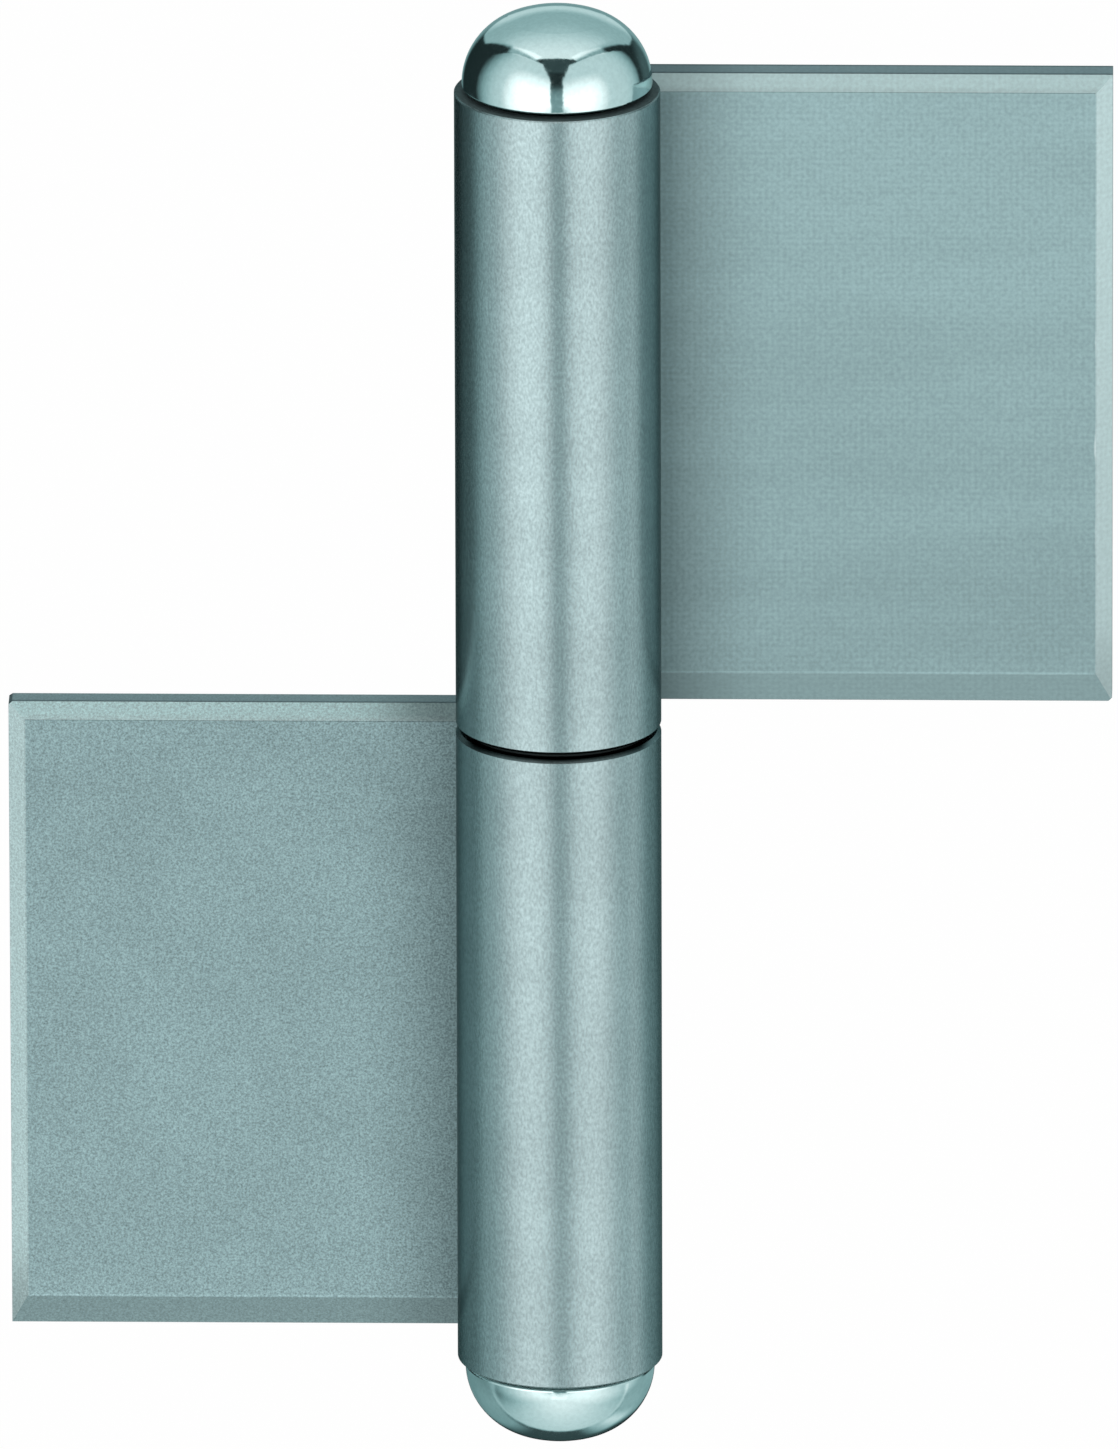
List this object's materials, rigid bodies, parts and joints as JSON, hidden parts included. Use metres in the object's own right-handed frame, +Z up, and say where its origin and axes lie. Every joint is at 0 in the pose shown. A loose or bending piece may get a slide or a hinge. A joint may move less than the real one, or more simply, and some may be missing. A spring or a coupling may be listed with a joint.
{
  "type": "weld-on hinge",
  "caption": "Lift-off flag hinge for welding: flat bevelled leaves with round barrels on a pressed pin, a bearing ring between them and domed end caps.",
  "frame": {"origin": "on the pin axis, half way through the bearing ring, which is the middle of the hinge", "axes": "+Z up along the pin axis, +X from the axis along the upper leaf, +Y out of the flat weld backs of both leaves"},
  "size_m": [0.1076, 0.02, 0.1464],
  "materials": {
    "drawn_steel": "satin",
    "bright_cap": "polished",
    "pin_steel": "satin",
    "ring_steel": "satin"
  },
  "bodies": {
    "lower_half": {"lower_leaf": "drawn_steel", "hinge_pin": "pin_steel", "lower_cap": "bright_cap"},
    "ring": {"bearing_ring": "ring_steel"},
    "upper_half": {"upper_leaf": "drawn_steel", "upper_cap": "bright_cap"}
  },
  "joints": [
    {"name": "leaf_swing", "type": "hinge", "parent": "lower_half", "child": "ring", "pos_m": [0, 0, 0], "axis": [0, 0, 1], "continuous": true},
    {"name": "leaf_lift", "type": "slide", "parent": "ring", "child": "upper_half", "axis": [0, 0, 1], "range_m": [0, 0.05]}
  ]
}
